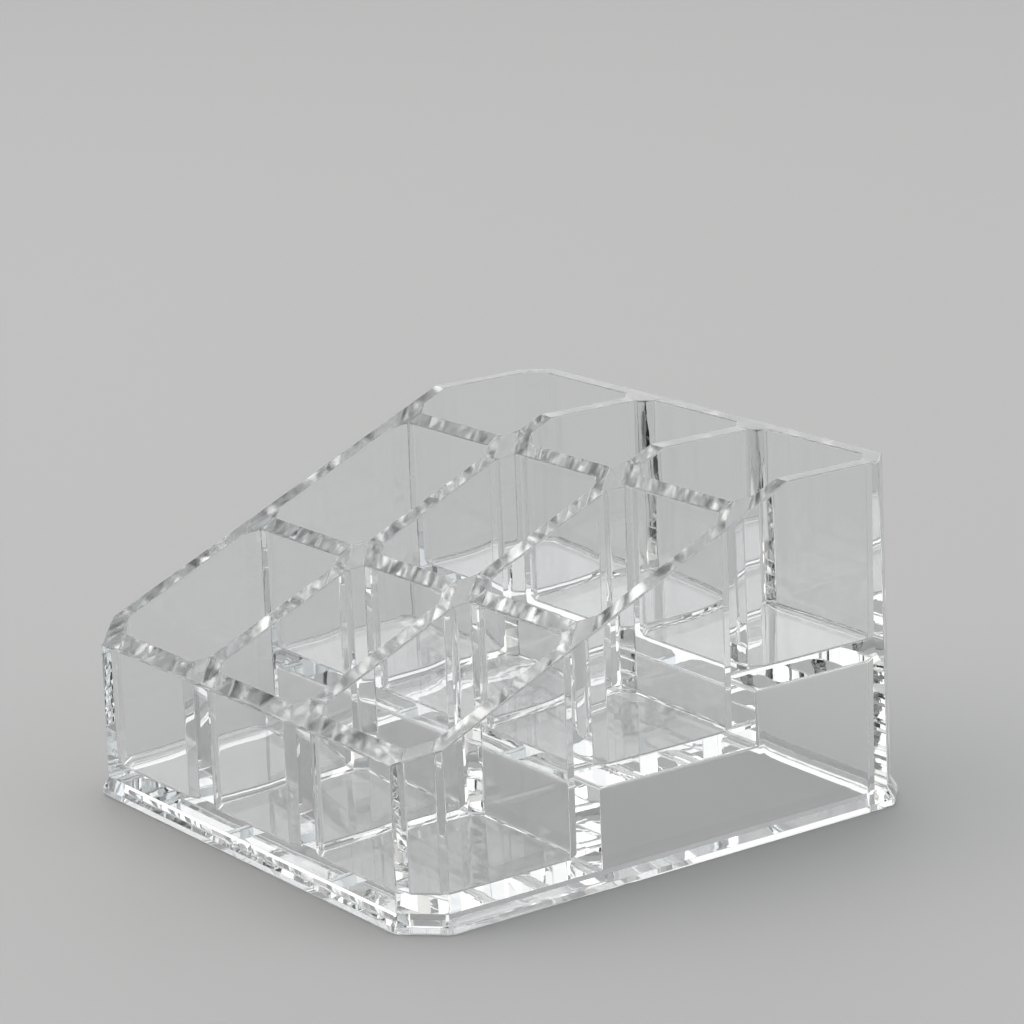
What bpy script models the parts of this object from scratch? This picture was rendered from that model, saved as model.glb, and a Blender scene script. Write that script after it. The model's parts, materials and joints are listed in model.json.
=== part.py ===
"""Clear stepped organiser box with nine cells, as bonded acrylic panels.

Units are metres. X runs along the low front wall, Y from front to back, Z up.
The origin is the middle of the footprint, on the surface the box stands on.
All upright faces are drafted, so a panel is described by its plan outline at a height.
"""
import math

import bmesh
import bpy
from mathutils import Vector

# Outer body. Width and depth are taken at the foot, where the body meets the base frame.
foot_width = 0.0935
foot_depth = 0.0926
overall_height = 0.0550
front_height = 0.0251
level_length = 0.0221
front_corner_cut = 0.0055
rear_corner_cut = 0.0043
outer_draft_share = 0.010

# Walls and dividers, as thick as they are at the level of the highest rim.
outer_wall = 0.0030
column_divider = 0.0034
row_divider = 0.0029
riser_thickness = 0.0038
inner_draft_share = 0.008

# Cells, at the level of the highest rim. The side columns and the rear row take what is left.
middle_cell_width = 0.0256
front_cell_depth = 0.0276
middle_cell_depth = 0.0267
cell_corner = 0.00215

# Floors. Each top is a height above the standing surface.
front_floor_top = 0.0047
middle_floor_top = 0.0178
rear_floor_top = 0.0265
floor_thickness = 0.0032
floor_cove = 0.0005
cove_steps = 3

# Base frame.
frame_height = 0.0029
frame_side_height = 0.0012
frame_projection = 0.0011
frame_foot_edge = 0.0003

# Joints. The tongue is how far a floor reaches into the grooves of the walls round it.
tongue = 0.0010
bond = 0.0001
overrun = 0.0050

clear_colour = (0.93, 0.95, 0.96, 1.0)
clear_roughness = 0.04
clear_metallic = 0.0
clear_index = 1.49

COLUMNS = ("left", "middle", "right")
ROWS = ("front", "middle", "rear")
floor_tops = dict(zip(ROWS, (front_floor_top, middle_floor_top, rear_floor_top)))

# Cutting a corner by an inset moves both of its ends by this share of the inset.
corner_inset_share = 2 - math.sqrt(2)


def outer_lean(z):
    """How far the body's outside has drawn in at a height, since its foot."""
    return outer_draft_share * (z - frame_height)


def shrink(z):
    """How far each inner face has closed in at a height, since the highest rim."""
    return inner_draft_share * (overall_height - z)


def chamber_inset(z):
    """How far the inside of the outer walls lies within the foot's outline at a height."""
    return outer_lean(overall_height) + outer_wall + shrink(z)


def outer_half(z):
    """Half width and half depth of the body's outside at a height."""
    return foot_width / 2 - outer_lean(z), foot_depth / 2 - outer_lean(z)


def inner_half(z):
    """Half width and half depth inside the outer walls at a height."""
    return foot_width / 2 - chamber_inset(z), foot_depth / 2 - chamber_inset(z)


def column_faces(z):
    """The X limits of the three columns of cells at a height."""
    half_x, _ = inner_half(z)
    inner = middle_cell_width / 2 - shrink(z)
    outer = middle_cell_width / 2 + column_divider + shrink(z)
    return {"left": (-half_x, -outer), "middle": (-inner, inner), "right": (outer, half_x)}


def row_faces(z):
    """The Y limits of the three rows of cells at a height."""
    _, half_y = inner_half(z)
    _, top_half_y = inner_half(overall_height)
    front_end = front_cell_depth - top_half_y
    middle_start = front_end + row_divider
    middle_end = middle_start + middle_cell_depth
    rear_start = middle_end + row_divider
    close = shrink(z)
    return {
        "front": (-half_y, front_end - close),
        "middle": (middle_start + close, middle_end - close),
        "rear": (rear_start + close, half_y),
    }


def grown(cut, by):
    """A corner's cut once its outline has grown all round. A square corner stays square."""
    return cut + corner_inset_share * by if cut else 0.0


def eight_sided(x_limits, y_limits, front_left, front_right, rear_right, rear_left):
    """A rectangle with its corners cut at 45 degrees, from the front left, anticlockwise."""
    (x0, x1), (y0, y1) = x_limits, y_limits
    points = [
        (x0, y0 + front_left), (x0 + front_left, y0),
        (x1 - front_right, y0), (x1, y0 + front_right),
        (x1, y1 - rear_right), (x1 - rear_right, y1),
        (x0 + rear_left, y1), (x0, y1 - rear_left),
    ]
    return [point for i, point in enumerate(points) if point != points[i - 1]]


def foot_outline(grow):
    """The outline of the body's foot, grown all round. Its corners stay on the mitres of the walls."""
    half_x, half_y = foot_width / 2 + grow, foot_depth / 2 + grow
    front, rear = grown(front_corner_cut, grow), grown(rear_corner_cut, grow)
    return eight_sided((-half_x, half_x), (-half_y, half_y), front, front, rear, rear)


def body_outline(z):
    """The outside of the outer walls at a height."""
    return foot_outline(-outer_lean(z))


def chamber_outline(z):
    """The inside of the outer walls at a height."""
    return foot_outline(-chamber_inset(z))


def outer_cell_cut(row, z):
    """The corner cut of a cell where it lies in a corner of the box."""
    return grown(front_corner_cut if row == "front" else rear_corner_cut, -chamber_inset(z))


def cell_outline(column, row, z, inset=0.0):
    """One cell at a height, drawn in all round by an inset."""
    x0, x1 = column_faces(z)[column]
    y0, y1 = row_faces(z)[row]
    cuts = []
    for side_row, side in (("front", "left"), ("front", "right"), ("rear", "right"), ("rear", "left")):
        at_corner = (row, column) == (side_row, side)
        cuts.append(grown(outer_cell_cut(row, z) if at_corner else cell_corner, -inset))
    return eight_sided((x0 + inset, x1 - inset), (y0 + inset, y1 - inset), *cuts)


def stack(sections):
    """A closed mesh through plan outlines of as many points each, from the lowest up."""
    mesh = bmesh.new()
    rings = [[mesh.verts.new((x, y, z)) for x, y in outline] for outline, z in sections]
    count = len(rings[0])
    for low, high in zip(rings, rings[1:]):
        for i in range(count):
            j = (i + 1) % count
            mesh.faces.new((low[i], low[j], high[j], high[i]))
    mesh.faces.new(list(reversed(rings[0])))
    mesh.faces.new(rings[-1])
    bmesh.ops.recalc_face_normals(mesh, faces=mesh.faces[:])
    return mesh


def clear_material(name):
    """Clear, colourless moulded acrylic."""
    material = bpy.data.materials.new(name + "_clear")
    material.use_nodes = True
    shader = material.node_tree.nodes["Principled BSDF"]
    shader.inputs["Base Color"].default_value = clear_colour
    shader.inputs["Roughness"].default_value = clear_roughness
    shader.inputs["Metallic"].default_value = clear_metallic
    shader.inputs["IOR"].default_value = clear_index
    shader.inputs["Transmission Weight"].default_value = 1.0
    return material


def add_object(name, mesh, parent=None):
    """Puts a mesh into the scene with its origin at the middle of its foot."""
    low = min(v.co.z for v in mesh.verts)
    foot = [v.co for v in mesh.verts if v.co.z == low]
    origin = Vector((sum(c.x for c in foot) / len(foot), sum(c.y for c in foot) / len(foot), low))
    bmesh.ops.translate(mesh, verts=mesh.verts[:], vec=-origin)
    data = bpy.data.meshes.new(name)
    mesh.to_mesh(data)
    mesh.free()
    thing = bpy.data.objects.new(name, data)
    bpy.context.scene.collection.objects.link(thing)
    thing.location = origin
    thing.parent = parent
    return thing


def add_cutter(name, mesh):
    """A solid that only cuts others, so it is drawn as wire and not rendered."""
    cutter = add_object(name, mesh)
    cutter.hide_render = True
    cutter.display_type = "WIRE"
    return cutter


def add_panel(name, mesh, parent, cutters):
    """A panel with its own material, cut by each cutter in turn."""
    panel = add_object(name, mesh, parent)
    panel.data.materials.append(clear_material(name))
    for cutter in cutters:
        cut = panel.modifiers.new("cut_" + cutter.name, "BOOLEAN")
        cut.operation = "DIFFERENCE"
        cut.solver = "EXACT"
        cut.object = cutter
    return panel


def rim_cutter():
    """Everything above the rim: a slope that rises from the front wall to a level stretch at the back."""
    _, front_y = outer_half(front_height)
    _, back_y = outer_half(overall_height)
    half_x, _ = outer_half(frame_height)
    level_start = back_y - level_length
    slope = (overall_height - front_height) / (level_start + front_y)
    ceiling = overall_height + 2 * overrun
    profile = [
        (-front_y - overrun, front_height - slope * overrun),
        (level_start, overall_height),
        (back_y + overrun, overall_height),
        (back_y + overrun, ceiling),
        (-front_y - overrun, ceiling),
    ]
    mesh = bmesh.new()
    verts = [mesh.verts.new((-half_x - overrun, y, z)) for y, z in profile]
    side = mesh.faces.new(verts)
    pushed = bmesh.ops.extrude_face_region(mesh, geom=[side])["geom"]
    moved = [item for item in pushed if isinstance(item, bmesh.types.BMVert)]
    bmesh.ops.translate(mesh, verts=moved, vec=(2 * (half_x + overrun), 0, 0))
    bmesh.ops.recalc_face_normals(mesh, faces=mesh.faces[:])
    return add_cutter("above_rim", mesh)


def floor_outline(row, z, reach):
    """A row's floor at a height, reaching into the walls round it."""
    half_x, _ = inner_half(z)
    y0, y1 = row_faces(z)[row]
    front = grown(outer_cell_cut(row, z), reach) if row == "front" else 0.0
    rear = grown(outer_cell_cut(row, z), reach) if row == "rear" else 0.0
    return eight_sided((-half_x - reach, half_x + reach), (y0 - reach, y1 + reach), front, front, rear, rear)


def drop_outline(z):
    """The part of the front floor that drops into the opening of the base frame."""
    half_x, _ = inner_half(frame_height)
    y0, y1 = row_faces(z)["front"]
    corner = outer_cell_cut("front", frame_height)
    return eight_sided((bond - half_x, half_x - bond), (y0 + bond, y1 + tongue - bond), corner, corner, 0.0, 0.0)


def groove_cutter(row):
    """The grooves that take a floor's edges, a bond wider than the floor all round."""
    bottom = floor_tops[row] - floor_thickness
    top = floor_tops[row] + floor_cove + bond
    if row == "front":
        bottom = 0.0
    reach = tongue + bond
    low = floor_outline(row, bottom - bond, reach)
    high = floor_outline(row, top, reach)
    return add_cutter("groove_" + row, stack([(low, bottom - bond), (high, top)]))


def cell_cutter(column, row):
    """The inside of a cell, with a cove all round its floor."""
    floor = floor_tops[row]
    cove_top = floor + floor_cove
    sections = []
    for step in range(cove_steps + 1):
        angle = math.pi / 2 * step / cove_steps
        inset = floor_cove * (1 - math.sin(angle))
        z = cove_top - floor_cove * math.cos(angle)
        sections.append((cell_outline(column, row, cove_top, inset), z))
    above = cove_top + overrun
    sections.append((cell_outline(column, row, above), above))
    return add_cutter("cell_" + row + "_" + column, stack(sections))


def void_cutter(name, front_face, ceiling):
    """The empty space under a raised floor, from a riser's back face to behind the box."""
    half_x, _ = outer_half(frame_height)
    _, back = outer_half(frame_height)
    lean = inner_draft_share * ceiling
    far = back + overrun
    wide = half_x + overrun
    low = [(-wide, front_face - lean), (wide, front_face - lean), (wide, far), (-wide, far)]
    high = [(-wide, front_face), (wide, front_face), (wide, far), (-wide, far)]
    return add_cutter(name, stack([(low, -overrun), (high, ceiling)]))


def add_outer_walls(parent, rim, grooves):
    """The four outer walls and the four mitred panels that cut the corners."""
    low, high = frame_height + bond, overall_height + overrun
    mitre = bond / 2
    sides = {
        "left_side_wall": (7, 0, grooves),
        "corner_panel_front_left": (0, 1, ("front",)),
        "front_wall": (1, 2, ("front",)),
        "corner_panel_front_right": (2, 3, ("front",)),
        "right_side_wall": (3, 4, grooves),
        "corner_panel_rear_right": (4, 5, ("rear",)),
        "back_wall": (5, 6, ("rear",)),
        "corner_panel_rear_left": (6, 7, ("rear",)),
    }
    for name, (first, last, cut_by) in sides.items():
        sections = []
        for z in (low, high):
            outside, inside = body_outline(z), chamber_outline(z)
            outer_line = shorten(outside[first], outside[last], mitre)
            inner_line = shorten(inside[first], inside[last], mitre)
            sections.append((outer_line + inner_line[::-1], z))
        add_panel(name, stack(sections), parent, [rim] + [grooves[row] for row in cut_by])


def shorten(start, end, by):
    """A line's two ends, each brought in by a distance."""
    start, end = Vector(start), Vector(end)
    step = (end - start).normalized() * by
    return [tuple(start + step), tuple(end - step)]


def row_divider_outline(front_row, rear_row, z):
    """A divider across the box, with half posts at the side walls and a whole post at each crossing."""
    columns = column_faces(z)
    front_y = row_faces(z)[front_row][1]
    rear_y = row_faces(z)[rear_row][0]
    front_side, rear_side = [], []
    for column in COLUMNS:
        x0, x1 = columns[column]
        x0 += bond if column == "left" else 0.0
        x1 -= bond if column == "right" else 0.0
        front_side += [(x0, front_y - cell_corner), (x0 + cell_corner, front_y),
                       (x1 - cell_corner, front_y), (x1, front_y - cell_corner)]
        rear_side += [(x0, rear_y + cell_corner), (x0 + cell_corner, rear_y),
                      (x1 - cell_corner, rear_y), (x1, rear_y + cell_corner)]
    return front_side + rear_side[::-1]


def add_row_divider(name, front_row, rear_row, parent, rim, grooves, void):
    """A divider that carries on down as the riser between two floors."""
    foot = floor_tops[front_row] - floor_thickness
    sections = [(row_divider_outline(front_row, rear_row, z), z) for z in (foot, overall_height + overrun)]
    add_panel(name, stack(sections), parent, [rim, grooves[front_row], grooves[rear_row], void])


def add_column_dividers(parent, rim):
    """Each column divider, in one length for each row, standing on that row's floor."""
    for side, sign in (("left", -1), ("right", 1)):
        for row in ROWS:
            low = floor_tops[row] + floor_cove + bond
            sections = []
            for z in (low, overall_height + overrun):
                inner = column_faces(z)["middle"][1]
                outer = column_faces(z)["right"][0]
                y0, y1 = row_faces(z)[row]
                front_flare = cell_corner if row == "front" else 0.0
                rear_flare = cell_corner if row == "rear" else 0.0
                start = y0 + bond if row == "front" else y0 + cell_corner + bond
                end = y1 - bond if row == "rear" else y1 - cell_corner - bond
                neck_start, neck_end = y0 + cell_corner + 2 * bond, y1 - cell_corner - 2 * bond
                outline = [
                    (inner - front_flare, start), (outer + front_flare, start),
                    (outer, neck_start), (outer, neck_end),
                    (outer + rear_flare, end), (inner - rear_flare, end),
                    (inner, neck_end), (inner, neck_start),
                ]
                sections.append(([(sign * x, y) for x, y in outline], z))
            add_panel("column_divider_" + side + "_" + row, stack(sections), parent, [rim])


def add_floors(parent, cells):
    """One floor for each row, with a coved pocket for each cell."""
    for row in ROWS:
        top = floor_tops[row] + floor_cove
        bottom = floor_tops[row] - floor_thickness
        sections = [(floor_outline(row, bottom, tongue), bottom), (floor_outline(row, top, tongue), top)]
        if row == "front":
            ledge = frame_height + bond
            sections = [
                (drop_outline(bottom), bottom), (drop_outline(ledge), ledge),
                (floor_outline(row, ledge, tongue), ledge), (floor_outline(row, top, tongue), top),
            ]
        cutters = [cells[column, row] for column in COLUMNS]
        add_panel("floor_" + row, stack(sections), parent, cutters)


def add_base_frame(parent):
    """The bevelled frame that the walls stand on, open in the middle."""
    sections = [
        (foot_outline(frame_projection - frame_foot_edge), 0.0),
        (foot_outline(frame_projection), frame_foot_edge),
        (foot_outline(frame_projection), frame_side_height),
        (foot_outline(0.0), frame_height),
    ]
    opening = add_cutter("frame_opening", stack([
        (chamber_outline(frame_height), -overrun), (chamber_outline(frame_height), overrun)]))
    add_panel("base_frame", stack(sections), parent, [opening])


def build():
    for thing in list(bpy.data.objects):
        bpy.data.objects.remove(thing, do_unlink=True)
    organiser = bpy.data.objects.new("organiser", None)
    bpy.context.scene.collection.objects.link(organiser)

    rim = rim_cutter()
    grooves = {row: groove_cutter(row) for row in ROWS}
    cells = {(column, row): cell_cutter(column, row) for row in ROWS for column in COLUMNS}
    middle_void = void_cutter(
        "void_middle",
        row_faces(middle_floor_top)["front"][1] + riser_thickness,
        middle_floor_top - floor_thickness)
    rear_void = void_cutter(
        "void_rear",
        row_faces(rear_floor_top)["middle"][1] + riser_thickness,
        rear_floor_top - floor_thickness)

    add_base_frame(organiser)
    add_outer_walls(organiser, rim, grooves)
    add_row_divider("row_divider_front", "front", "middle", organiser, rim, grooves, middle_void)
    add_row_divider("row_divider_rear", "middle", "rear", organiser, rim, grooves, rear_void)
    add_column_dividers(organiser, rim)
    add_floors(organiser, cells)


build()
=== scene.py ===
"""Clear stepped organiser box with nine cells: one clear body, its finish and a small studio.

Metres throughout. X runs along the low front wall, Y from front to back, Z up.
"""
import json
import math

import bmesh
import bpy
from bpy.props import FloatProperty, FloatVectorProperty, IntProperty, PointerProperty
from mathutils import Matrix, Vector
from mathutils.geometry import delaunay_2d_cdt

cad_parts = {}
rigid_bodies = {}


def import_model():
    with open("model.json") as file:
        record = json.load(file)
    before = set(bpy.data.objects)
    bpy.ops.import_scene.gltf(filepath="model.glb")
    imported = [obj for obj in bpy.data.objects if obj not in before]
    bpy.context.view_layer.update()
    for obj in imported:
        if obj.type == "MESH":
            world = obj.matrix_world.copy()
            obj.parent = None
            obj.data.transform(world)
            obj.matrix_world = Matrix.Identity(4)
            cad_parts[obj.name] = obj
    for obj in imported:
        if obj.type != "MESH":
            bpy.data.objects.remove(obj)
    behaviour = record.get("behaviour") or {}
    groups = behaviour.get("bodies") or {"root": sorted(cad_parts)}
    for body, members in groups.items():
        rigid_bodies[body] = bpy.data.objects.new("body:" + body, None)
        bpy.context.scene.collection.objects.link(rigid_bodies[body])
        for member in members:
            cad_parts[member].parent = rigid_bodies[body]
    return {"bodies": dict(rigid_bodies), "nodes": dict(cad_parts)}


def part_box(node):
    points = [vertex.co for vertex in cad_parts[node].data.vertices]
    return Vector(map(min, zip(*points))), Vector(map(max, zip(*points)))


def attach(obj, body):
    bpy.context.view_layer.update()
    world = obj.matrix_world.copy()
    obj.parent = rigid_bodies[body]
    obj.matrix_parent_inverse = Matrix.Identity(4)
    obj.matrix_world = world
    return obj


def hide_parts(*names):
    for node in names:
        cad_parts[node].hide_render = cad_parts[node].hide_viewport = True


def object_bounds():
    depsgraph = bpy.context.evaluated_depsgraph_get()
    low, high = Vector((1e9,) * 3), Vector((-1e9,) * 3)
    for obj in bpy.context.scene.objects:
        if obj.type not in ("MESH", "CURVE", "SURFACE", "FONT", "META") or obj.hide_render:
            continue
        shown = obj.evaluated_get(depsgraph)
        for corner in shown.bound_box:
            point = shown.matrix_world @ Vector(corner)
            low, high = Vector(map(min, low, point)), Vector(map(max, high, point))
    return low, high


bl_info = {
    "name": "Stepped organiser box",
    "version": (1, 0, 0),
    "blender": (4, 5, 0),
    "location": "View3D > Sidebar > Organiser",
    "description": "Builds a clear nine-cell organiser box and a plain studio around it",
    "category": "Object",
}

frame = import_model()
cad_low, cad_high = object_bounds()
frame_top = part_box("base_frame")[1].z
floor_boxes = [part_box("floor_" + row) for row in ("front", "middle", "rear")]

MM = 0.001
SIDES = 8
LEFT_SIDE, RIGHT_SIDE = 3, 7
HALF_TURN_SHARE = 1 / math.cos(math.pi / SIDES)
# A cut merges points that are closer than this.
MERGE_DISTANCE = 1e-7
# A place this near to another counts as the same.
TOLERANCE = 1e-6


def millimetres(name, description, default):
    """A length that the sidebar shows as a distance."""
    return FloatProperty(name=name, description=description, default=default * MM, subtype="DISTANCE",
                         unit="LENGTH", min=0.0, precision=5)


class BodySizes(bpy.types.PropertyGroup):
    """Sizes of the clear body."""
    front_height: millimetres("Front Height", "Height of the rim on the low front wall", 25.1)
    level_length: millimetres("Level Length", "Length of the level rim at the back", 22.1)
    projection: millimetres("Projection", "How far the base frame stands out from the walls", 1.1)
    foot_edge: millimetres("Foot Edge", "Cut along the bottom edge of the base frame", 0.3)
    frame_side: millimetres("Frame Side", "Upright part of the base frame's edge", 1.2)
    front_cut: millimetres("Front Corner Cut", "Leg of the cut at the two front corners", 5.5)
    rear_cut: millimetres("Rear Corner Cut", "Leg of the cut at the two rear corners", 4.3)
    wall: millimetres("Wall", "Outer wall at the level of the highest rim", 3.0)
    column_divider: millimetres("Column Divider", "Dividers that run from front to back", 3.4)
    row_divider: millimetres("Row Divider", "Dividers that run across", 2.9)
    riser: millimetres("Riser", "Step between two floors", 3.8)
    middle_width: millimetres("Middle Width", "Width of the cells of the middle column", 25.6)
    front_depth: millimetres("Front Depth", "Depth of the cells of the front row", 27.6)
    middle_depth: millimetres("Middle Depth", "Depth of the cells of the middle row", 26.7)
    cell_cut: millimetres("Cell Corner Cut", "Leg of the cut at the corners between cells", 2.15)
    cove: millimetres("Cove", "Radius where a floor runs into the walls", 0.5)
    floor_edge: millimetres("Floor Edge", "Raised edge of the floors in the CAD model", 0.5)
    bow: millimetres("Bow", "How much the cells widen between their corners at the floor", 0.16)
    bow_reach: millimetres("Bow Reach", "How far the walls below the floors thicken from a corner", 2.8)
    rim_round: millimetres("Rim Round", "Radius along the edges of the rim", 0.3)
    corner_round: millimetres("Corner Round", "Radius of the upright edges", 0.45)
    void_round: millimetres("Underside Round", "Radius of the edges under the floors", 0.5)
    outer_draft: FloatProperty(name="Outer Draft", description="Lean of the outer faces", default=0.010)
    inner_draft: FloatProperty(name="Inner Draft", description="Lean of the inner faces", default=0.008)
    arc_points: IntProperty(name="Arc Points", description="Points in each bend of an outline", default=5)
    side_points: IntProperty(name="Side Points", description="Points on each side, an odd number", default=7)
    round_steps: IntProperty(name="Round Steps", description="Steps in each small round", default=4)
    cove_steps: IntProperty(name="Cove Steps", description="Steps in each cove", default=8)


class ClearFinish(bpy.types.PropertyGroup):
    """Finish of the clear plastic."""
    tint: FloatVectorProperty(name="Tint", description="Colour of the clear plastic", subtype="COLOR",
                              size=4, default=(0.985, 0.99, 0.99, 1.0), min=0.0, max=1.0)
    depth_tint: FloatVectorProperty(name="Depth Tint", description="Colour of light after a long way inside",
                                    subtype="COLOR", size=4, default=(0.90, 0.91, 0.91, 1.0),
                                    min=0.0, max=1.0)
    depth_density: FloatProperty(name="Depth Density", description="How fast light takes on that colour",
                                 default=20.0)
    index: FloatProperty(name="Index", description="Index of refraction of acrylic", default=1.49)
    roughness: FloatProperty(name="Roughness", description="Roughness of the polish", default=0.004)
    wave: millimetres("Wave", "Height of the slow waves that moulding leaves", 0.045)
    wave_length: millimetres("Wave Length", "Size of those waves", 14.3)
    ripple: millimetres("Ripple", "Height of the short ripples that moulding leaves", 0.004)
    ripple_length: millimetres("Ripple Length", "Size of those ripples", 3.0)
    gate_width: millimetres("Gate Mark Width", "Width of the mark where the sprue was cut", 5.0)
    gate_height: millimetres("Gate Mark Height", "Height of that mark's edge", 0.03)
    rim_roughness: FloatProperty(name="Rim Roughness", description="Roughness of the rim", default=0.12)
    foot_roughness: FloatProperty(name="Foot Roughness", description="Roughness of the face it stands on",
                                  default=0.02)


class Studio(bpy.types.PropertyGroup):
    """Floor, lamps and camera."""
    floor: FloatVectorProperty(name="Floor", description="Colour of the floor", subtype="COLOR",
                               size=4, default=(0.51, 0.51, 0.51, 1.0), min=0.0, max=1.0)
    air_gap: millimetres("Air Gap", "Film of air between the box and the floor", 0.02)
    floor_glow: FloatProperty(name="Floor Glow", description="Light of the floor seen through the plastic",
                              default=1.0)
    glow_share: FloatProperty(name="Glow Share", description="How far that light fills the floor's shadow",
                              default=0.5, subtype="FACTOR", min=0.0, max=1.0)
    lamp_power: FloatProperty(name="Lamp Power", description="Watts of the overhead lamp", default=4.2)
    lamp_size: FloatProperty(name="Lamp Size", description="Width and depth of that lamp", default=1.6,
                             subtype="DISTANCE", unit="LENGTH")
    lamp_place: FloatVectorProperty(name="Lamp Place", description="Where that lamp hangs", size=3,
                                    default=(-0.35, -0.10, 1.10), subtype="XYZ", unit="LENGTH")
    bounces: IntProperty(name="Bounces", description="How often light may bounce in the plastic", default=24)
    azimuth: FloatProperty(name="Azimuth", description="Camera's turn to the right of the front",
                           default=math.radians(54.83), subtype="ANGLE")
    elevation: FloatProperty(name="Elevation", description="Camera's height as an angle",
                             default=math.radians(14.55), subtype="ANGLE")
    roll: FloatProperty(name="Roll", description="Camera's turn about its own axis",
                        default=math.radians(-2.36), subtype="ANGLE")
    distance: millimetres("Distance", "Camera's distance from the middle of the foot", 593.0)
    right: millimetres("Right", "Camera's place to the right of the foot's middle", 2.97)
    up: millimetres("Up", "Camera's place above the foot's middle", 44.48)
    lens: FloatProperty(name="Lens", description="Focal length on the sensor, in mm", default=131.24)
    sensor: FloatProperty(name="Sensor", description="Width of the camera's sensor, in mm", default=36.0)


class Value:
    """A socket with a value, on which arithmetic adds Math nodes."""

    def __init__(self, graph, socket):
        self.graph = graph
        self.socket = socket

    def math(self, operation, *others, clamp=False):
        inputs = dict(enumerate((self, *others)))
        return self.graph.add("ShaderNodeMath", {"operation": operation, "use_clamp": clamp}, inputs)

    def __add__(self, other):
        return self.math("ADD", other)

    def __sub__(self, other):
        return self.math("SUBTRACT", other)

    def __rsub__(self, other):
        return self.graph.number(other).math("SUBTRACT", self)

    def __mul__(self, other):
        return self.math("MULTIPLY", other)

    def __truediv__(self, other):
        return self.math("DIVIDE", other)

    __radd__ = __add__
    __rmul__ = __mul__


class Graph:
    """Adds nodes to one node tree, from their type, settings and inputs."""

    def __init__(self, tree):
        self.tree = tree

    def add(self, kind, settings=None, inputs=None, output=0):
        node = self.tree.nodes.new(kind)
        for name, setting in (settings or {}).items():
            if name == "stops":
                self.set_stops(node.color_ramp, setting)
            else:
                setattr(node, name, setting)
        for key, value in (inputs or {}).items():
            if isinstance(value, Value):
                self.tree.links.new(value.socket, node.inputs[key])
            else:
                node.inputs[key].default_value = value
        return Value(self, node.outputs[output]) if node.outputs else node

    def output(self, value, name):
        """Another output of the node that gave a value."""
        return Value(self, value.socket.node.outputs[name])

    def number(self, value):
        if isinstance(value, Value):
            return value
        return self.add("ShaderNodeMath", {"operation": "ADD"}, {0: value, 1: 0.0})

    def vector(self, x, y, z):
        return self.add("ShaderNodeCombineXYZ", {}, {0: x, 1: y, 2: z})

    @staticmethod
    def set_stops(ramp, stops):
        for stop, (place, shade) in zip(ramp.elements, stops[:2]):
            stop.position = place
            stop.color = shade
        for place, shade in stops[2:]:
            ramp.elements.new(place).color = shade


# Body

SKIN_INPUTS = [
    ("Profile", "NodeSocketObject", None),
    ("Levels", "NodeSocketInt", 2),
    ("Arc Points", "NodeSocketInt", 5),
    ("Side Points", "NodeSocketInt", 7),
    ("Bow", "NodeSocketFloat", 0.0),
    ("Corner Round", "NodeSocketFloat", 0.0),
    ("Draft", "NodeSocketFloat", 0.0),
    ("Draft Height", "NodeSocketFloat", 0.0),
    ("Rim Start", "NodeSocketFloat", 0.0),
    ("Rim Slope", "NodeSocketFloat", 0.0),
    ("Rim Level", "NodeSocketFloat", 0.0),
    ("Split", "NodeSocketFloat", 0.0),
    ("Material", "NodeSocketMaterial", None),
]
# A rounded corner keeps this share of its radius where the outline is drawn in.
LEAST_ROUND = 0.2
# The power that keeps a bowed side straight along its middle.
BOW_POWER = 4.0
SIDE_NAMES = ("Right", "Rear Right", "Rear", "Rear Left", "Left", "Front Left", "Front", "Front Right")


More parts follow.
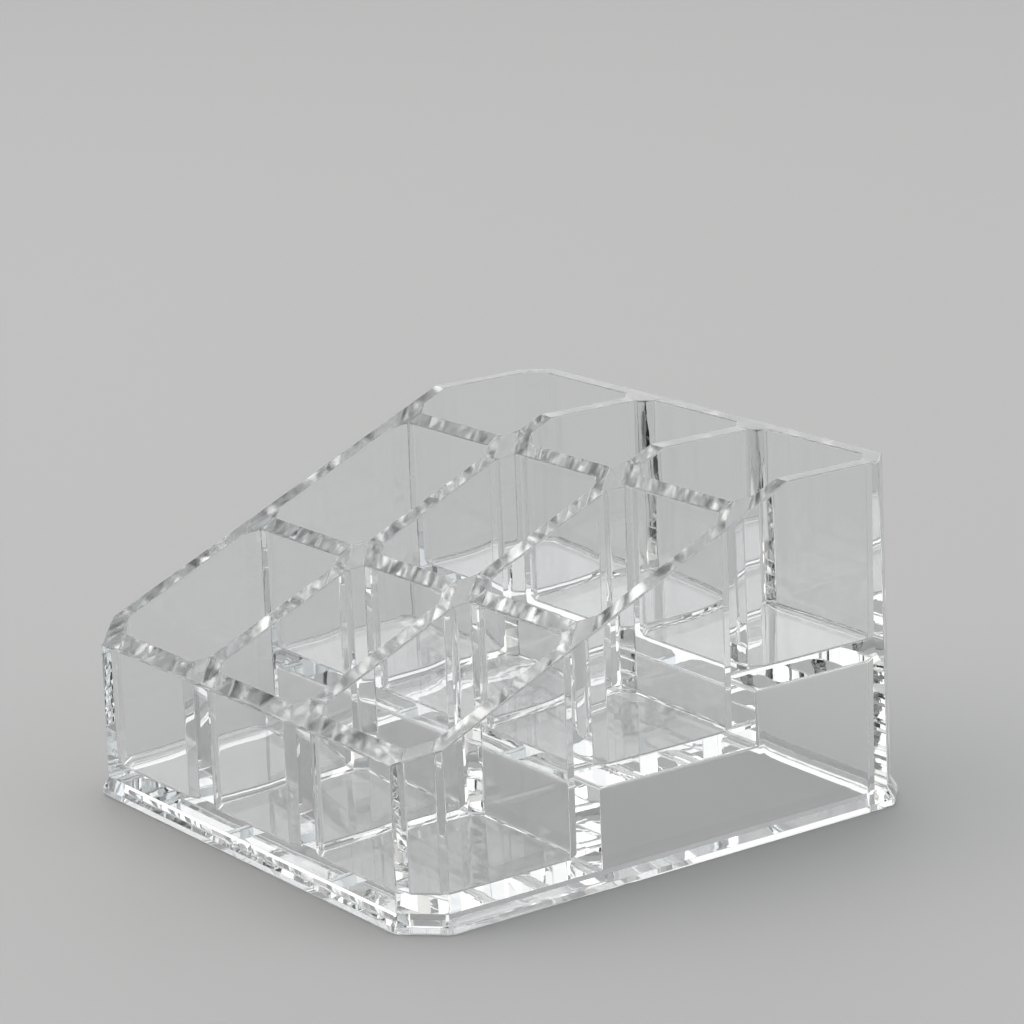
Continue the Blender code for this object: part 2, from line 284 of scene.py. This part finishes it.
def skin_tree():
    """An eight-sided drafted skin, lofted down through the levels of a profile.

    Each side has its distance from the Z axis. A profile point holds how far its level is drawn in (X),
    its share of the rim's height (Y) and its own height (Z).
    """
    tree = bpy.data.node_groups.new("drafted_skin", "GeometryNodeTree")
    tree.is_modifier = True
    interface = tree.interface
    interface.new_socket("Geometry", in_out="OUTPUT", socket_type="NodeSocketGeometry")
    for name, kind, default in SKIN_INPUTS:
        socket = interface.new_socket(name, in_out="INPUT", socket_type=kind)
        if default is not None:
            socket.default_value = default
    for name in SIDE_NAMES:
        interface.new_socket(name, in_out="INPUT", socket_type="NodeSocketFloat")
    graph = Graph(tree)
    given = graph.add("NodeGroupInput")

    def take(name):
        return graph.output(given, name)

    bend_points = take("Arc Points") + take("Side Points")
    around = bend_points * SIDES
    index = graph.add("GeometryNodeInputIndex")
    level = (index / around).math("FLOOR")
    place = index - level * around
    bend = (place / bend_points).math("FLOOR")
    step = place - bend * bend_points

    profile = graph.add("GeometryNodeObjectInfo", {}, {"Object": take("Profile")}, output="Geometry")
    point = graph.add("GeometryNodeSampleIndex", {"data_type": "FLOAT_VECTOR"},
                      {"Geometry": profile, "Value": graph.add("GeometryNodeInputPosition"), "Index": level})
    inset = graph.add("ShaderNodeSeparateXYZ", {}, {0: point})
    rim_share, height = graph.output(inset, "Y"), graph.output(inset, "Z")

    def side_distance(number, drawn_in):
        """The distance of the side with a number, once it is drawn in."""
        node = graph.add("GeometryNodeIndexSwitch", {"data_type": "FLOAT"})
        switch = node.socket.node
        while len(switch.index_switch_items) < SIDES:
            switch.index_switch_items.new()
        tree.links.new(number.socket, switch.inputs["Index"])
        for i, name in enumerate(SIDE_NAMES):
            tree.links.new(take(name).socket, switch.inputs[i + 1])
        return node - drawn_in

    def turn(sides):
        """Cosine and sine of so many eighths of a turn."""
        angle = sides * (2 * math.pi / SIDES)
        return angle.math("COSINE"), angle.math("SINE")

    def sharp_corner(number, drawn_in):
        """Where a side meets the next one."""
        first = side_distance(number, drawn_in)
        second = side_distance((number + 1).math("FLOORED_MODULO", SIDES), drawn_in)
        (cos_1, sin_1), (cos_2, sin_2) = turn(number), turn(number + 1)
        along = math.cos(2 * math.pi / SIDES)
        scale = 1 / (1 - along * along)
        pull_1 = (first - second * along) * scale
        pull_2 = (second - first * along) * scale
        return pull_1 * cos_1 + pull_2 * cos_2, pull_1 * sin_1 + pull_2 * sin_2

    def rim_height(y):
        sloped = take("Rim Level") + (y - take("Rim Start")) * take("Rim Slope")
        return sloped.math("MINIMUM", take("Rim Level"))

    def outline(drawn_in):
        """The outline's point: on a bend's arc, or on the side that follows it."""
        x, y = sharp_corner(bend, drawn_in)
        next_x, next_y = sharp_corner((bend + 1).math("FLOORED_MODULO", SIDES), drawn_in)
        radius = (take("Corner Round") - inset).math("MAXIMUM", take("Corner Round") * LEAST_ROUND)
        mid_cos, mid_sin = turn(bend + 0.5)
        arc_cos, arc_sin = turn(bend + step / (take("Arc Points") - 1))
        arc_x = x + radius * (arc_cos - mid_cos * HALF_TURN_SHARE)
        arc_y = y + radius * (arc_sin - mid_sin * HALF_TURN_SHARE)

        along = (step - take("Arc Points") + 1) / (take("Side Points") + 1)
        from_middle = along * 2 - 1
        is_flank = (bend + 1).math("FLOORED_MODULO", SIDES // 2).math("LESS_THAN", 0.5)
        is_long = (bend + 1).math("FLOORED_MODULO", 2).math("LESS_THAN", 0.5)
        split = is_flank * take("Split") + (1 - is_flank) * ((y + next_y) * 0.5)
        before, after = (from_middle + 1).math("MINIMUM", 1.0), from_middle.math("MAXIMUM", 0.0)
        swell = is_long * take("Bow") * (1 - rim_share) * (1 - from_middle.math("POWER", BOW_POWER))
        normal_x, normal_y = turn(bend + 1)
        side_x = x + (next_x - x) * along + swell * normal_x
        side_y = y + (split - y) * before + (next_y - split) * after + swell * normal_y
        on_side = step.math("GREATER_THAN", take("Arc Points") - 0.5)
        return on_side * side_x + (1 - on_side) * arc_x, on_side * side_y + (1 - on_side) * arc_y

    _, flat_y = outline(inset)
    raised = rim_share * rim_height(flat_y) + height
    x, y = outline(inset - (raised - take("Draft Height")) * take("Draft"))
    z = rim_share * rim_height(y) + height

    tube = graph.add("GeometryNodeMeshCylinder", {"fill_type": "NONE"},
                     {"Vertices": around, "Side Segments": take("Levels") - 1}, output="Mesh")
    shaped = graph.add("GeometryNodeSetPosition", {}, {"Geometry": tube, "Position": graph.vector(x, y, z)})
    real = graph.add("GeometryNodeRealizeInstances", {}, {"Geometry": shaped})
    painted = graph.add("GeometryNodeSetMaterial", {}, {"Geometry": real, "Material": take("Material")})
    graph.add("NodeGroupOutput", {}, {"Geometry": painted})
    return tree


class Layout:
    """Places that follow from the sizes."""

    def __init__(self, sizes):
        self.sizes = sizes
        self.top = cad_high.z
        self.half_width = (cad_high.x - cad_low.x) / 2 - sizes.projection
        self.half_depth = (cad_high.y - cad_low.y) / 2 - sizes.projection
        lean = sizes.outer_draft * (self.top - frame_top)
        front_lean = sizes.outer_draft * (sizes.front_height - frame_top)
        self.wall_inset = lean + sizes.wall
        self.kink = self.half_depth - lean - sizes.level_length
        self.slope = (self.top - sizes.front_height) / (self.kink + self.half_depth - front_lean)
        inner_x, inner_y = self.half_width - self.wall_inset, self.half_depth - self.wall_inset
        middle = sizes.middle_width / 2
        self.columns = {
            "left": (-inner_x, -middle - sizes.column_divider),
            "middle": (-middle, middle),
            "right": (middle + sizes.column_divider, inner_x),
        }
        front_end = sizes.front_depth - inner_y
        middle_start = front_end + sizes.row_divider
        middle_end = middle_start + sizes.middle_depth
        self.rows = {
            "front": (-inner_y, front_end),
            "middle": (middle_start, middle_end),
            "rear": (middle_end + sizes.row_divider, inner_y),
        }
        self.floors = dict(zip(self.rows, (high.z - sizes.floor_edge for _, high in floor_boxes)))
        self.undersides = dict(zip(self.rows, (low.z for low, _ in floor_boxes)))

    def corner_cut(self, row, column, front, left):
        """The corner cut of a cell, which is larger at a corner of the box."""
        outer = (row == ("front" if front else "rear")) and (column == ("left" if left else "right"))
        whole = self.sizes.front_cut if front else self.sizes.rear_cut
        return whole - (2 - math.sqrt(2)) * self.wall_inset if outer else self.sizes.cell_cut

    def shrink(self, z):
        """How far the inner faces have closed in at a height."""
        return self.sizes.inner_draft * (self.top - z)


def side_distances(low_x, high_x, low_y, high_y, cuts):
    """Distance of each side from the Z axis. The cuts run anticlockwise from the rear right."""
    rear_right, rear_left, front_left, front_right = cuts
    diagonal = math.sqrt(0.5)
    return [
        high_x, (high_x + high_y - rear_right) * diagonal,
        high_y, (-low_x + high_y - rear_left) * diagonal,
        -low_x, (-low_x - low_y - front_left) * diagonal,
        -low_y, (high_x - low_y - front_right) * diagonal,
    ]


def quarter_round(radius, steps, start, finish):
    """Points of a quarter circle as sine and cosine shares of a radius, from one to another angle."""
    for step in range(steps + 1):
        angle = start + (finish - start) * step / steps
        yield radius * (1 - math.sin(angle)), radius * (1 - math.cos(angle))


def rim_levels(sizes, sign):
    """Levels of the round along the rim, drawn in (1) for the outside or out (-1) for a cell."""
    return [(sign * inset, 1.0, -drop)
            for inset, drop in quarter_round(sizes.rim_round, sizes.round_steps, 0.0, math.pi / 2)]


def cell_profile(sizes, floor):
    """From the rim down to the edge of the floor's flat."""
    cove = [(inset, 0.0, floor + rise)
            for rise, inset in quarter_round(sizes.cove, sizes.cove_steps, 0.0, math.pi / 2)]
    return rim_levels(sizes, -1.0) + cove


def rounded_path(points, radius, steps):
    """A path with each inner bend replaced by an arc."""
    path = [Vector(points[0])]
    for before, bend, after in zip(points, points[1:], points[2:]):
        bend = Vector(bend)
        towards, away = (Vector(before) - bend).normalized(), (Vector(after) - bend).normalized()
        half = towards.angle(away) / 2
        reach = radius / math.tan(half)
        centre = bend + (towards + away).normalized() * (radius / math.sin(half))
        start, finish = [(bend + leg * reach - centre).normalized() for leg in (towards, away)]
        path += [centre + radius * start.slerp(finish, i / steps) for i in range(steps + 1)]
    return path + [Vector(points[-1])]


# Steps in the round at each bend of the base frame's edge.
FRAME_ROUND_STEPS = 3


def outside_profile(sizes):
    """From the rim down the wall and over the bevelled frame to the underside."""
    out = sizes.projection
    bends = [
        (0.0, frame_top + 2 * sizes.rim_round), (0.0, frame_top), (-out, sizes.frame_side),
        (-out, sizes.foot_edge), (sizes.foot_edge - out, 0.0),
    ]
    path = rounded_path(bends, sizes.foot_edge / 2, FRAME_ROUND_STEPS)
    below = [(p.x + sizes.outer_draft * (frame_top - p.y), 0.0, p.y) for p in path]
    return rim_levels(sizes, 1.0) + below


def profile_object(name, levels):
    """A mesh of points that a skin reads its levels from."""
    data = bpy.data.meshes.new(name)
    data.from_pydata(levels, [(i, i + 1) for i in range(len(levels) - 1)], [])
    thing = bpy.data.objects.new(name, data)
    bpy.context.scene.collection.objects.link(thing)
    return thing


def loft(name, tree, levels, sides, values):
    """Runs the skin's tree on one profile and returns its rings of points, from the rim down."""
    profile = profile_object(name + "_profile", levels)
    carrier = bpy.data.objects.new(name, bpy.data.meshes.new(name))
    bpy.context.scene.collection.objects.link(carrier)
    modifier = carrier.modifiers.new("skin", "NODES")
    modifier.node_group = tree
    sockets = {item.name: item.identifier for item in tree.interface.items_tree if item.in_out == "INPUT"}
    settings = dict(values, Profile=profile, Levels=len(levels), **dict(zip(SIDE_NAMES, sides)))
    for key, value in settings.items():
        modifier[sockets[key]] = value
    graph = bpy.context.evaluated_depsgraph_get()
    mesh = bpy.data.meshes.new_from_object(carrier.evaluated_get(graph))
    points = [v.co.copy() for v in mesh.vertices]
    for thing in (carrier, profile):
        bpy.data.objects.remove(thing)
    bpy.data.meshes.remove(mesh)
    around = len(points) // len(levels)
    return [points[i:i + around] for i in range(0, len(points), around)]


def add_skin(body, rings):
    """Adds a lofted skin to the body and returns its first and last rings of vertices."""
    rows = [[body.verts.new(point) for point in ring] for ring in rings]
    count = len(rows[0])
    for upper, lower in zip(rows, rows[1:]):
        for i in range(count):
            j = (i + 1) % count
            body.faces.new((upper[i], upper[j], lower[j], lower[i]))
    return rows[0], rows[-1]


def flank_point(ring, side, sizes):
    """The point half way along a flank, where the rim's slope may end."""
    return ring[side * (sizes.arc_points + sizes.side_points) + sizes.arc_points + sizes.side_points // 2]


# What delaunay_2d_cdt gives back, and how near two points of the rim may lie in it.
FACES_WITH_HOLES = 5
OUTLINE_TOLERANCE = 1e-9


def fill_rim(body, outside, cells, sizes):
    """The rim's flat top between the outside and the cells, split where the slope becomes level."""
    rings = [outside, *cells.values()]
    verts = [v for ring in rings for v in ring]
    number = {v: i for i, v in enumerate(verts)}
    stops = [flank_point(outside, LEFT_SIDE, sizes)]
    for column in ("left", "middle", "right"):
        ring = cells["rear", column]
        stops += [flank_point(ring, LEFT_SIDE, sizes), flank_point(ring, RIGHT_SIDE, sizes)]
    stops.append(flank_point(outside, RIGHT_SIDE, sizes))
    crease = [(number[a], number[b]) for a, b in zip(stops[::2], stops[1::2])]
    found = delaunay_2d_cdt([v.co.xy for v in verts], crease, [[number[v] for v in ring] for ring in rings],
                            FACES_WITH_HOLES, OUTLINE_TOLERANCE)
    places, _, faces, sources = found[:4]
    if len(places) != len(verts):
        raise RuntimeError("the rim's outlines cross")
    for face in faces:
        body.faces.new([verts[sources[i][0]] for i in face])
    return [body.edges.get((verts[a], verts[b])) for a, b in crease]


def underside_cutter(layout):
    """The empty space under the floors, open below, with its edges rounded."""
    sizes = layout.sizes
    half_x, half_y = layout.half_width - layout.wall_inset, layout.half_depth - layout.wall_inset
    risers = [
        layout.rows[row][1] - layout.shrink(layout.floors[above]) + sizes.riser
        for row, above in (("front", "middle"), ("middle", "rear"))
    ]
    heights = [layout.undersides[row] for row in layout.rows]
    below = -heights[1]
    outline = [
        (-half_y, below), (-half_y, heights[0]), (risers[0], heights[0]), (risers[0], heights[1]),
        (risers[1], heights[1]), (risers[1], heights[2]), (half_y, heights[2]), (half_y, below),
    ]
    mesh = bmesh.new()
    face = mesh.faces.new([mesh.verts.new((-half_x, y, z)) for y, z in outline])
    pushed = bmesh.ops.extrude_face_region(mesh, geom=[face])["geom"]
    moved = [item for item in pushed if isinstance(item, bmesh.types.BMVert)]
    bmesh.ops.translate(mesh, verts=moved, vec=(2 * half_x, 0, 0))
    bmesh.ops.recalc_face_normals(mesh, faces=mesh.faces[:])
    corner_share = 2 - math.sqrt(2)
    for y, cut in ((-half_y, sizes.front_cut), (half_y, sizes.rear_cut)):
        upright = [e for e in mesh.edges
                   if all(abs(v.co.y - y) < sizes.foot_edge for v in e.verts)
                   and abs(e.verts[0].co.z - e.verts[1].co.z) > sizes.foot_edge]
        bmesh.ops.bevel(mesh, geom=upright, offset=cut - corner_share * layout.wall_inset,
                        offset_type="OFFSET", segments=1, affect="EDGES", clamp_overlap=False)
    for vert in mesh.verts:
        close = layout.shrink(vert.co.z)
        vert.co.x -= math.copysign(close, vert.co.x)
        if abs(abs(vert.co.y) - half_y) < sizes.rear_cut:
            vert.co.y -= math.copysign(close, vert.co.y)
    upper = [e for e in mesh.edges if max(v.co.z for v in e.verts) > 0]
    bmesh.ops.bevel(mesh, geom=upper, offset=sizes.void_round, offset_type="OFFSET",
                    segments=sizes.round_steps, profile=0.5, affect="EDGES", clamp_overlap=True)
    bow_flanks(mesh, half_x, risers, half_y, sizes)
    return mesh


# The walls' bow has faded out after so many times its reach.
BOW_REACHES = 4


def bow_flanks(mesh, half_x, risers, back, sizes):
    """Lets the walls beside the empty space thicken towards the risers and the back wall."""
    reach = sizes.bow_reach
    for start in (*risers, back):
        for step in range(1, 2 * BOW_REACHES + 1):
            side = -1 if start == back else 1
            cut = Vector((0, start + side * step * reach / 2, 0))
            bmesh.ops.bisect_plane(mesh, geom=mesh.verts[:] + mesh.edges[:] + mesh.faces[:],
                                   dist=MERGE_DISTANCE, plane_co=cut, plane_no=(0, 1, 0))
    for vert in mesh.verts:
        start = risers[1] if vert.co.z > sizes.front_height / 2 and vert.co.y > risers[1] else risers[0]
        near = math.exp(-max(vert.co.y - start, 0.0) / reach) + math.exp(-max(back - vert.co.y, 0.0) / reach)
        share = max(0.0, 1 - (half_x - abs(vert.co.x)) / (2 * sizes.wall))
        vert.co.x -= math.copysign(sizes.bow * near * share, vert.co.x)


def mesh_object(name, mesh):
    """An object with a bmesh's faces, at the origin."""
    data = bpy.data.meshes.new(name)
    mesh.to_mesh(data)
    mesh.free()
    thing = bpy.data.objects.new(name, data)
    bpy.context.scene.collection.objects.link(thing)
    return thing


def subtract(thing, cutter):
    """Cuts one object from another and keeps the result as a plain mesh."""
    cut = thing.modifiers.new("cut", "BOOLEAN")
    cut.operation, cut.solver, cut.object = "DIFFERENCE", "EXACT", cutter
    bake_modifiers(thing)
    bpy.data.objects.remove(cutter)


def bake_modifiers(thing):
    """Turns an object's modifiers into its mesh."""
    graph = bpy.context.evaluated_depsgraph_get()
    baked = bpy.data.meshes.new_from_object(thing.evaluated_get(graph))
    old = thing.data
    thing.modifiers.clear()
    thing.data = baked
    bpy.data.meshes.remove(old)
    baked.name = thing.name


# Edges that bend by more than this stay sharp.
SHARP_ANGLE = math.radians(32)
# The rim's crease bends by more than this.
CREASE_ANGLE = 0.1
# How strongly the larger faces pull the normals.
AREA_PULL = 100


def is_crease(edge, layout):
    """True for an edge across the rim where its slope becomes level."""
    at_kink = all(abs(v.co.y - layout.kink) < TOLERANCE for v in edge.verts)
    return (at_kink and edge.calc_face_angle(0.0) > CREASE_ANGLE
            and abs(edge.verts[0].co.z - layout.top) < TOLERANCE)


def soften(thing, layout):
    """Smooth rounds between flat faces, with the crease and the square edges kept sharp."""
    data = thing.data
    data.shade_smooth()
    data.set_sharp_from_angle(angle=SHARP_ANGLE)
    mesh = bmesh.new()
    mesh.from_mesh(data)
    many_sided = [face for face in mesh.faces if len(face.verts) > 4]
    bmesh.ops.triangulate(mesh, faces=many_sided, ngon_method="BEAUTY")
    for edge in mesh.edges:
        if is_crease(edge, layout):
            edge.smooth = False
    mesh.to_mesh(data)
    mesh.free()
    weighted = thing.modifiers.new("weighted", "WEIGHTED_NORMAL")
    weighted.mode, weighted.weight, weighted.keep_sharp = "FACE_AREA", AREA_PULL, True
    bake_modifiers(thing)


# The gate mark's ring fades out within one part in so many of the mark's width.
GATE_FINENESS = 8


def gate_mark(graph, place, z, finish):
    """A shallow ring in the middle of the front flange, left where the sprue was cut."""
    x = graph.add("ShaderNodeSeparateXYZ", {}, {0: place}, "X")
    across, up = x / finish.gate_width, z / frame_top - 0.5
    ring = (across * across + up * up).math("SQRT") * GATE_FINENESS - GATE_FINENESS / 2
    bead = (1 - ring * ring).math("MAXIMUM", 0.0)
    at_front = graph.output(x, "Y").math("LESS_THAN", cad_low.y + frame_top)
    return bead * at_front * finish.gate_height


def clear_material(finish, layout):
    """Clear moulded acrylic, polished, with its mould's waves, a softer rim and a faint tint in depth."""
    material = bpy.data.materials.new("clear_acrylic")
    material.use_nodes = True
    material.node_tree.nodes.clear()
    graph = Graph(material.node_tree)
    place = graph.add("ShaderNodeTexCoord", output="Object")
    slow = graph.add("ShaderNodeTexNoise", {"noise_dimensions": "3D"},
                     {"Vector": place, "Scale": 1 / finish.wave_length, "Detail": 1.0, "Roughness": 0.4})
    short = graph.add("ShaderNodeTexNoise", {"noise_dimensions": "3D"},
                      {"Vector": place, "Scale": 1 / finish.ripple_length, "Detail": 1.5, "Roughness": 0.5})
    y = graph.add("ShaderNodeSeparateXYZ", {}, {0: place}, "Y")
    z = graph.output(y, "Z")
    rim = (layout.top + (y - layout.kink) * layout.slope).math("MINIMUM", layout.top)
    at_rim = (1 - (rim - z) / layout.sizes.rim_round).math("MAXIMUM", 0.0)
    at_foot = (1 - z / layout.sizes.foot_edge).math("MAXIMUM", 0.0)
    # The waves fade in from half way up the base frame, which itself is flat.
    on_walls = (z / frame_top - 0.5).math("MAXIMUM", 0.0).math("MINIMUM", 1.0)
    height = (slow * finish.wave + short * finish.ripple) * on_walls + gate_mark(graph, place, z, finish)
    roughness = finish.roughness + finish.rim_roughness * at_rim + finish.foot_roughness * at_foot
    bump = graph.add("ShaderNodeBump", {}, {"Height": height, "Distance": 1.0, "Strength": 1.0})
    shader = graph.add("ShaderNodeBsdfPrincipled", {}, {
        "Base Color": tuple(finish.tint),
        "Roughness": roughness,
        "IOR": finish.index,
        "Transmission Weight": 1.0,
        "Normal": bump,
    })
    depth = graph.add("ShaderNodeVolumeAbsorption", {}, {
        "Color": tuple(finish.depth_tint),
        "Density": finish.depth_density,
    })
    graph.add("ShaderNodeOutputMaterial", {}, {"Surface": shader, "Volume": depth})
    return material


class ORGANISER_OT_body(bpy.types.Operator):
    """Builds the clear body: outside, nine cells, rim and underside"""
    bl_idname = "organiser.body"
    bl_label = "Clear Body"

    def execute(self, context):
        sizes = context.scene.organiser_sizes
        layout = Layout(sizes)
        material = clear_material(context.scene.organiser_finish, layout)
        tree = skin_tree()
        shared = {
            "Arc Points": sizes.arc_points, "Side Points": sizes.side_points,
            "Corner Round": sizes.corner_round, "Material": material,
            "Rim Start": layout.kink, "Rim Slope": layout.slope, "Rim Level": layout.top,
        }
        body = bmesh.new()
        sides = side_distances(-layout.half_width, layout.half_width, -layout.half_depth, layout.half_depth,
                               (sizes.rear_cut, sizes.rear_cut, sizes.front_cut, sizes.front_cut))
        drafted = {"Draft": -sizes.outer_draft, "Draft Height": frame_top, "Split": layout.kink}
        outside = loft("outside", tree, outside_profile(sizes), sides, {**shared, **drafted})
        rim, foot = add_skin(body, outside)
        body.faces.new(foot)
        cells = {}
        for row, (low_y, high_y) in layout.rows.items():
            levels = cell_profile(sizes, layout.floors[row])
            for column, (low_x, high_x) in layout.columns.items():
                cuts = [layout.corner_cut(row, column, front, left)
                        for front, left in ((False, False), (False, True), (True, True), (True, False))]
                split = layout.kink if row == "rear" else (low_y + high_y) / 2
                sides = side_distances(low_x, high_x, low_y, high_y, cuts)
                drafted = {"Draft": sizes.inner_draft, "Draft Height": layout.top, "Split": split,
                           "Bow": sizes.bow}
                rings = loft("cell_%s_%s" % (row, column), tree, levels, sides, {**shared, **drafted})
                cells[row, column], floor = add_skin(body, rings)
                body.faces.new(floor)
        fill_rim(body, rim, cells, sizes)
        bmesh.ops.recalc_face_normals(body, faces=body.faces[:])
        piece = mesh_object("organiser_body", body)
        subtract(piece, mesh_object("underside", underside_cutter(layout)))
        piece.data.materials.clear()
        piece.data.materials.append(material)
        soften(piece, layout)
        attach(piece, next(iter(frame["bodies"])))
        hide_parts(*frame["nodes"])
        return {"FINISHED"}


# Stage

def grey(shade):
    """A neutral colour."""
    return (shade, shade, shade, 1.0)


# A long low light behind the box: where it stands, how wide it is, and its strength by height.
STRIP_PLACE = (-0.87, 0.50, 0.0)
STRIP_WIDTH = 1.6
STRIP_HEIGHTS = [(0.04, grey(0.1)), (0.16, grey(1.0)), (0.34, grey(1.0)), (0.46, grey(0.0))]
# Each soft light of the sky: where it stands, its tint, its strength and how narrow it is.
SOFT_LIGHTS = (
    ((-0.60, -0.80, 0.60), (1.0, 0.96, 0.91), 1.3, 9.0),
    ((0.70, 0.85, 0.55), (0.90, 0.96, 1.0), 1.1, 9.0),
    ((-0.10, 0.10, 1.00), (1.0, 1.0, 1.0), 1.35, 7.0),
)
# The sky's own grey by height, apart from the lights in it.
SKY_HEIGHTS = [(0.03, grey(0.42)), (0.25, grey(0.20)), (1.0, grey(0.22))]
# The round floor and its finish, and how near to the camera things are still seen.
FLOOR_RADIUS = 6.0
FLOOR_SEGMENTS = 96
FLOOR_ROUGHNESS = 0.6
NEAREST_SEEN = 0.01


class ORGANISER_OT_stage(bpy.types.Operator):
    """Sets the floor, the lamps, the sky and the camera"""
    bl_idname = "organiser.stage"
    bl_label = "Studio"

    def execute(self, context):
        studio = context.scene.organiser_studio
        self.add_floor(studio)
        self.add_sky(studio)
        self.add_lamp(studio)
        self.add_camera(studio)
        scene = context.scene
        scene.view_settings.view_transform = "Standard"
        scene.cycles.max_bounces = studio.bounces
        scene.cycles.transmission_bounces = studio.bounces
        scene.cycles.glossy_bounces = studio.bounces
        return {"FINISHED"}

    @staticmethod
    def add_floor(studio):
        mesh = bmesh.new()
        bmesh.ops.create_circle(mesh, cap_ends=True, segments=FLOOR_SEGMENTS, radius=FLOOR_RADIUS)
        bmesh.ops.translate(mesh, verts=mesh.verts[:], vec=(0.0, 0.0, -studio.air_gap))
        floor = mesh_object("floor", mesh)
        material = bpy.data.materials.new("floor")
        material.use_nodes = True
        material.node_tree.nodes.clear()
        graph = Graph(material.node_tree)
        colour = tuple(studio.floor)
        matt = graph.add("ShaderNodeBsdfPrincipled", {},
                         {"Base Color": colour, "Roughness": FLOOR_ROUGHNESS})
        glow = graph.add("ShaderNodeEmission", {}, {"Color": colour, "Strength": studio.floor_glow})
        ray = graph.add("ShaderNodeLightPath")
        passed, mirrored = graph.output(ray, "Is Transmission Ray"), graph.output(ray, "Is Glossy Ray")
        seen_through = passed.math("MAXIMUM", mirrored)
        mixed = graph.add("ShaderNodeMixShader", {}, {0: seen_through * studio.glow_share, 1: matt, 2: glow})
        graph.add("ShaderNodeOutputMaterial", {}, {"Surface": mixed})
        floor.data.materials.append(material)

    @staticmethod
    def add_sky(studio):
        world = bpy.data.worlds.new("studio")
        world.use_nodes = True
        world.node_tree.nodes.clear()
        graph = Graph(world.node_tree)
        look = graph.add("ShaderNodeTexCoord", output="Generated")
        up = graph.add("ShaderNodeSeparateXYZ", {}, {0: look}, "Z")
        light = graph.add("ShaderNodeValToRGB", {"stops": SKY_HEIGHTS}, {0: up})
        for place, tint, strength, tightness in SOFT_LIGHTS:
            facing = graph.add("ShaderNodeVectorMath", {"operation": "DOT_PRODUCT"},
                               {0: look, 1: Vector(place).normalized()}, "Value")
            lobe = facing.math("MAXIMUM", 0.0).math("POWER", tightness) * strength
            glow = graph.add("ShaderNodeVectorMath", {"operation": "SCALE"}, {0: tint, "Scale": lobe})
            light = graph.add("ShaderNodeVectorMath", {"operation": "ADD"}, {0: light, 1: glow})
        strip = graph.add("ShaderNodeValToRGB", {"stops": STRIP_HEIGHTS}, {0: up})
        towards = graph.add("ShaderNodeVectorMath", {"operation": "DOT_PRODUCT"},
                            {0: look, 1: Vector(STRIP_PLACE).normalized()}, "Value")
        facing = (towards * STRIP_WIDTH).math("ADD", 0.0, clamp=True)
        glow = graph.add("ShaderNodeVectorMath", {"operation": "SCALE"}, {0: strip, "Scale": facing})
        light = graph.add("ShaderNodeVectorMath", {"operation": "ADD"}, {0: light, 1: glow})
        sky = graph.add("ShaderNodeBackground", {}, {"Color": light, "Strength": 1.0})
        graph.add("ShaderNodeOutputWorld", {}, {"Surface": sky})
        bpy.context.scene.world = world

    @staticmethod
    def add_lamp(studio):
        lamp = bpy.data.lights.new("overhead", "AREA")
        lamp.shape = "SQUARE"
        lamp.size = studio.lamp_size
        lamp.energy = studio.lamp_power
        thing = bpy.data.objects.new("overhead", lamp)
        thing.location = studio.lamp_place
        middle = Vector((0.0, 0.0, cad_high.z / 2))
        thing.rotation_euler = (middle - thing.location).to_track_quat("-Z", "Y").to_euler()
        bpy.context.scene.collection.objects.link(thing)

    @staticmethod
    def add_camera(studio):
        az, el = studio.azimuth, studio.elevation
        back = Vector((math.sin(az) * math.cos(el), -math.cos(az) * math.cos(el), math.sin(el)))
        level = Vector((math.cos(az), math.sin(az), 0.0))
        rise = back.cross(level)
        right = level * math.cos(studio.roll) + rise * math.sin(studio.roll)
        up = rise * math.cos(studio.roll) - level * math.sin(studio.roll)
        camera = bpy.data.cameras.new("camera")
        camera.lens = studio.lens
        camera.sensor_width = studio.sensor
        camera.clip_start = NEAREST_SEEN
        thing = bpy.data.objects.new("camera", camera)
        turn = Matrix((right, up, back)).transposed().to_4x4()
        turn.translation = back * studio.distance + right * studio.right + up * studio.up
        thing.matrix_world = turn
        bpy.context.scene.collection.objects.link(thing)
        bpy.context.scene.camera = thing


class ORGANISER_PT_panel(bpy.types.Panel):
    """Lists the sizes, the finish and the steps"""
    bl_idname = "ORGANISER_PT_panel"
    bl_label = "Organiser"
    bl_space_type = "VIEW_3D"
    bl_region_type = "UI"
    bl_category = "Organiser"

    def draw(self, context):
        for group in (context.scene.organiser_sizes, context.scene.organiser_finish,
                      context.scene.organiser_studio):
            box = self.layout.box()
            for name in group.__annotations__:
                box.prop(group, name)
        for operator in OPERATORS:
            self.layout.operator(operator.bl_idname)


OPERATORS = (ORGANISER_OT_body, ORGANISER_OT_stage)
CLASSES = (BodySizes, ClearFinish, Studio, *OPERATORS, ORGANISER_PT_panel)


def register():
    for cls in CLASSES:
        bpy.utils.register_class(cls)
    bpy.types.Scene.organiser_sizes = PointerProperty(type=BodySizes)
    bpy.types.Scene.organiser_finish = PointerProperty(type=ClearFinish)
    bpy.types.Scene.organiser_studio = PointerProperty(type=Studio)


def unregister():
    del bpy.types.Scene.organiser_studio
    del bpy.types.Scene.organiser_finish
    del bpy.types.Scene.organiser_sizes
    for cls in reversed(CLASSES):
        bpy.utils.unregister_class(cls)


def main():
    register()
    bpy.ops.organiser.body()
    bpy.ops.organiser.stage()


if __name__ == "__main__":
    main()
